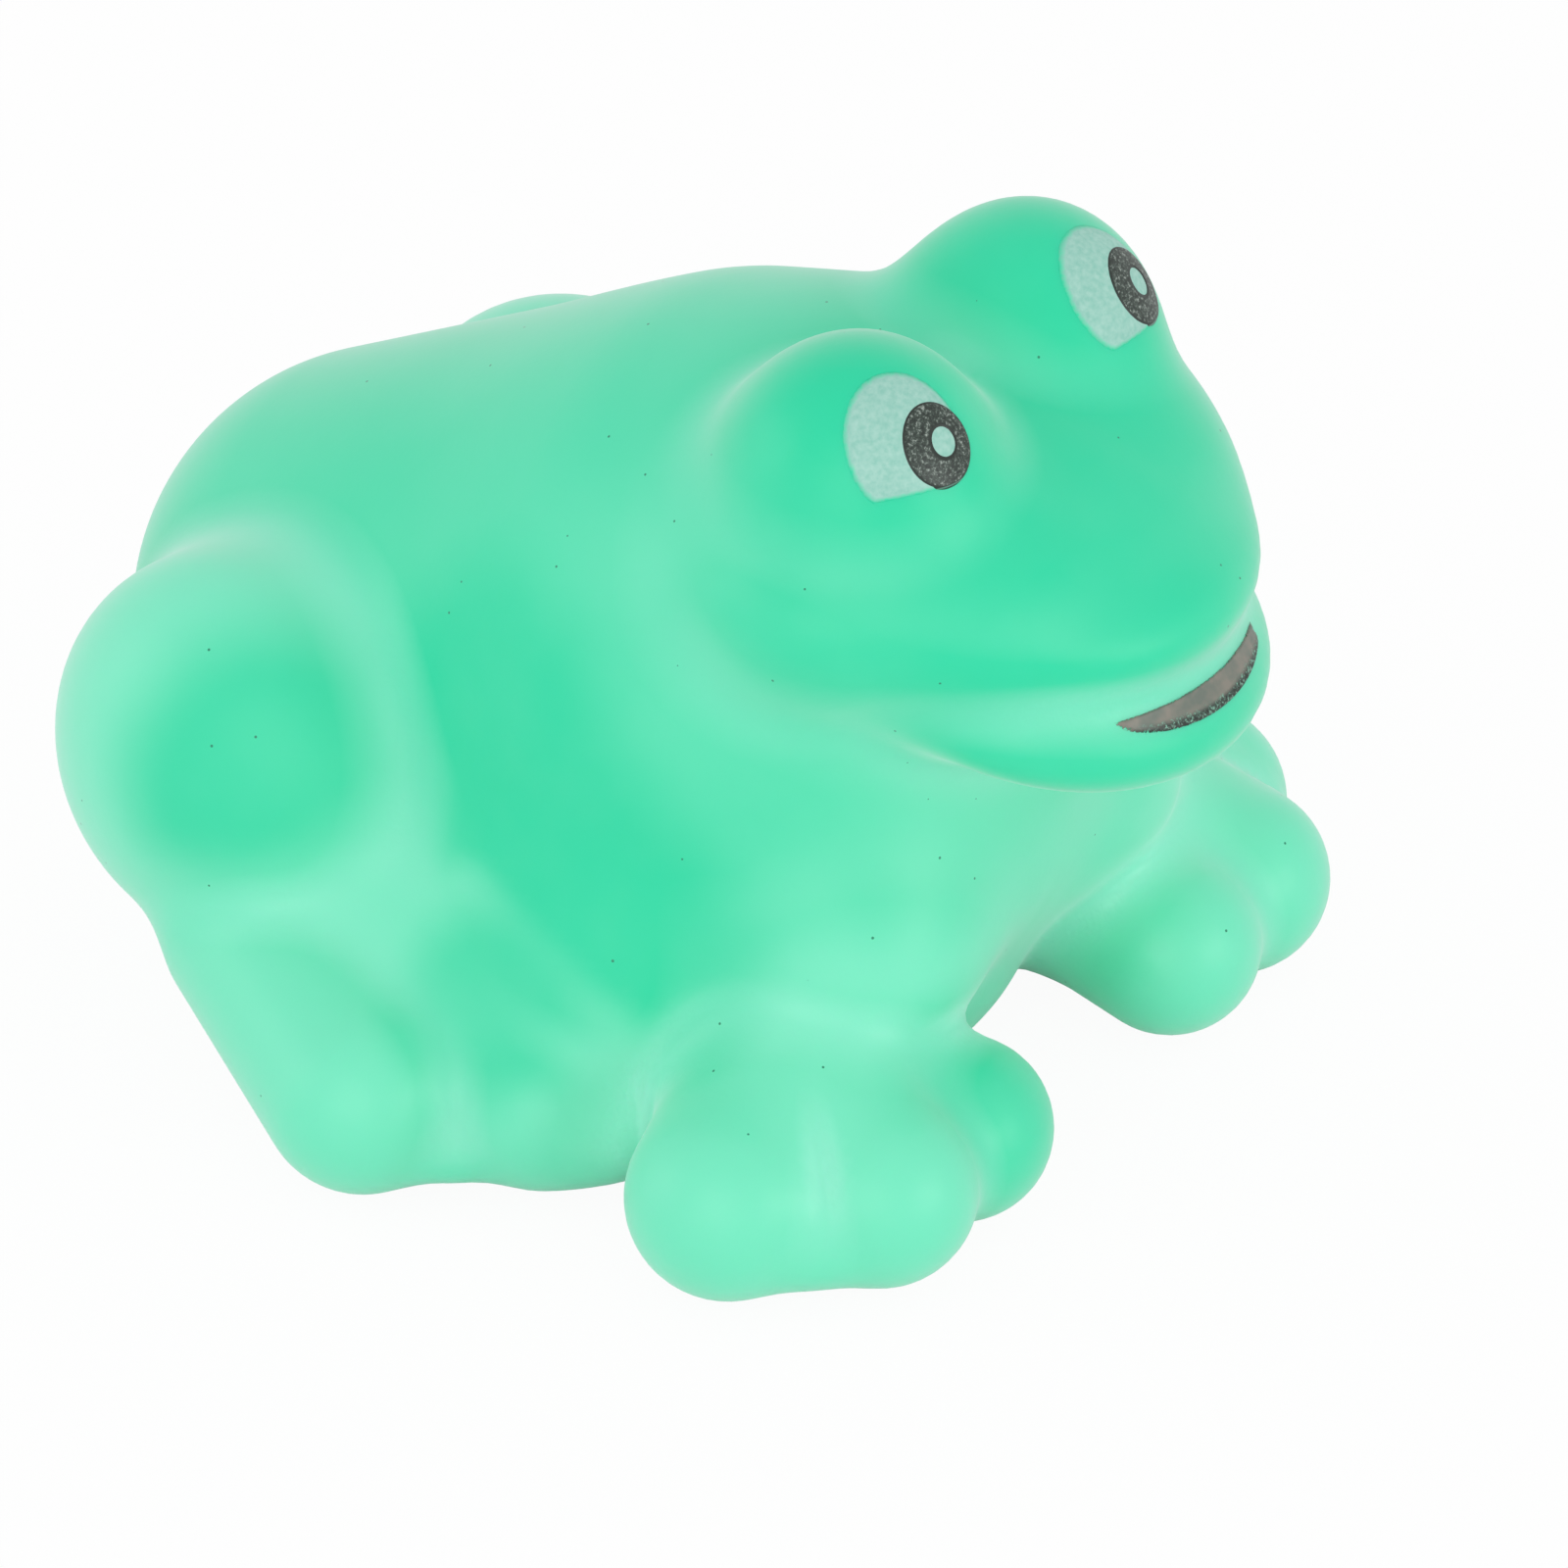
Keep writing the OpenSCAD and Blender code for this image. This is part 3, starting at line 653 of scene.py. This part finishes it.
def reed_film():
    """Polyester film, die cut: clear and glossy, with the fine haze of drawn film."""
    material, tree = new_material("polyester_film_die_cut")
    place = add(tree, "TexCoord").outputs["Object"]
    # Haze in streaks about 0.3 mm apart
    haze = add(tree, "TexNoise", {"Vector": place, "Scale": 1 / (0.3 * MM), "Detail": 2.0}).outputs[0]
    rough = add(tree, "MapRange", {"Value": haze, "To Min": 0.1, "To Max": 0.3})
    surface = add(tree, "BsdfPrincipled", {
        "Base Color": linear("#eef3f7"), "Roughness": rough.outputs[0],
        "IOR": 1.64, "Transmission Weight": 0.6,
    })
    add(tree, "OutputMaterial", {"Surface": surface.outputs["BSDF"]})
    return material


def paint(piece, material):
    piece.data.materials.clear()
    piece.data.materials.append(material)


# The pieces

body = make_body()
paint(body, vinyl())
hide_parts("shell_lower", "shell_fold_band", "shell_upper")
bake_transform(body)

white_paint = sprayed_white()
black_ink = pupil_ink()
for side, word in ((-1, "right"), (1, "left")):
    place = on_eye(side, side * WHITE_OUT + WHITE_SLIP, WHITE_TILT)
    white = film_patch("eye_white_paint_" + word, white_outline, place, PAINT_PROUD)
    paint(white, white_paint)
    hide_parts("eye_white_" + word)
    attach(white, "upper")

    place = on_eye(side, side * PUPIL_OUT + PUPIL_SLIP, PUPIL_TILT)
    pupil = film_patch("pupil_ink_" + word, pupil_outline, place, INK_PROUD, glint_outline)
    paint(pupil, black_ink)
    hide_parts("pupil_" + word)
    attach(pupil, "upper")

mouth = film_patch("mouth_ink", mouth_outline, on_jaw, INK_PROUD)
paint(mouth, mouth_ink())
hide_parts("mouth_print")
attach(mouth, "upper")

plug_plastic = moulded_plastic("natural_polypropylene_moulded", "#d3dce6", 0.3)
paint(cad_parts["squeaker_housing"], moulded_plastic("natural_polyethylene_moulded", "#dfe4dd", 0.35))
paint(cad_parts["reed_holder"], plug_plastic)
paint(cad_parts["reed_wedge"], plug_plastic)
paint(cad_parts["reed"], reed_film())


# Floor and lights, in metres, and the camera

FLOOR_HALF = 1.5
FLOOR_GLOW = 0.95
SKY_LIGHT = 0.82
LIGHT_TARGET = (0, 0, 0.02)


def make_floor():
    """A white paper floor; to the camera it is almost pure white, with a hint of shadow."""
    corners = [(x * FLOOR_HALF, y * FLOOR_HALF, 0) for x, y in ((-1, -1), (1, -1), (1, 1), (-1, 1))]
    mesh = bpy.data.meshes.new("studio_floor")
    mesh.from_pydata(corners, [], [(0, 1, 2, 3)])
    floor = bpy.data.objects.new("studio_floor", mesh)
    bpy.context.scene.collection.objects.link(floor)
    material, tree = new_material("white_paper_sweep")
    paper = add(tree, "BsdfDiffuse", {"Color": linear("#f4f4f4")})
    glow = add(tree, "Emission", {"Color": (1, 1, 1, 1), "Strength": 1.0})
    camera_ray = add(tree, "LightPath").outputs["Is Camera Ray"]
    share = add(tree, "Math", {0: camera_ray, 1: FLOOR_GLOW}, operation="MULTIPLY")
    mixed = add(tree, "MixShader", {0: share.outputs[0], 1: paper.outputs[0], 2: glow.outputs[0]})
    add(tree, "OutputMaterial", {"Surface": mixed.outputs[0]})
    paint(floor, material)


def make_world():
    """An even white studio, pure white to the camera."""
    world = bpy.data.worlds.new("studio_white")
    bpy.context.scene.world = world
    world.use_nodes = True
    tree = world.node_tree
    tree.nodes.clear()
    camera_ray = add(tree, "LightPath").outputs["Is Camera Ray"]
    strength = add(tree, "MapRange", {"Value": camera_ray, "To Min": SKY_LIGHT, "To Max": 1.0})
    sky = add(tree, "Background", {"Color": (1, 1, 1, 1), "Strength": strength.outputs["Result"]})
    add(tree, "OutputWorld", {"Surface": sky.outputs[0]})


def add_softbox(name, place, size, watts):
    """A round softbox that looks at the middle of the toy."""
    lamp = bpy.data.lights.new(name, "AREA")
    lamp.shape = "DISK"
    lamp.size = size
    lamp.energy = watts
    holder = bpy.data.objects.new(name, lamp)
    holder.location = place
    holder.rotation_euler = (Vector(LIGHT_TARGET) - Vector(place)).to_track_quat("-Z", "Y").to_euler()
    bpy.context.scene.collection.objects.link(holder)


# The camera stands to the frog's right front, above it, as the photograph does. Its angles are in
# degrees, its distance and target in millimetres, and the pixels are the photograph's.
CAMERA_TURN = 57.5
CAMERA_TILT = 31.0
CAMERA_DISTANCE = 600.0
PIXELS_PER_MM = 23.2
FRAME_PIXELS = 1600
TARGET = (0, 0, 18.0)
TARGET_PIXEL = (709.0, 650.0)
SENSOR_WIDTH = 36.0


def make_camera():
    turn, tilt = math.radians(CAMERA_TURN), math.radians(CAMERA_TILT)
    away = Vector((-math.sin(turn) * math.cos(tilt), -math.cos(turn) * math.cos(tilt), math.sin(tilt)))
    data = bpy.data.cameras.new("photo_camera")
    data.sensor_width = SENSOR_WIDTH
    data.lens = PIXELS_PER_MM * CAMERA_DISTANCE / FRAME_PIXELS * SENSOR_WIDTH
    data.shift_x = (FRAME_PIXELS / 2 - TARGET_PIXEL[0]) / FRAME_PIXELS
    data.shift_y = (TARGET_PIXEL[1] - FRAME_PIXELS / 2) / FRAME_PIXELS
    data.clip_start = 0.01
    camera = bpy.data.objects.new("photo_camera", data)
    camera.location = (Vector(TARGET) + away * CAMERA_DISTANCE) * MM
    camera.rotation_euler = (-away).to_track_quat("-Z", "Y").to_euler()
    bpy.context.scene.collection.objects.link(camera)
    bpy.context.scene.camera = camera


make_floor()
make_world()
add_softbox("side_softbox", (-0.55, -0.2, 0.2), 0.5, 0.7)
add_softbox("rear_softbox", (-0.45, 0.6, 0.25), 0.5, 0.6)
add_softbox("front_softbox", (0.0, -0.65, 0.1), 0.4, 0.85)
make_camera()
bpy.context.scene.view_settings.view_transform = "Standard"
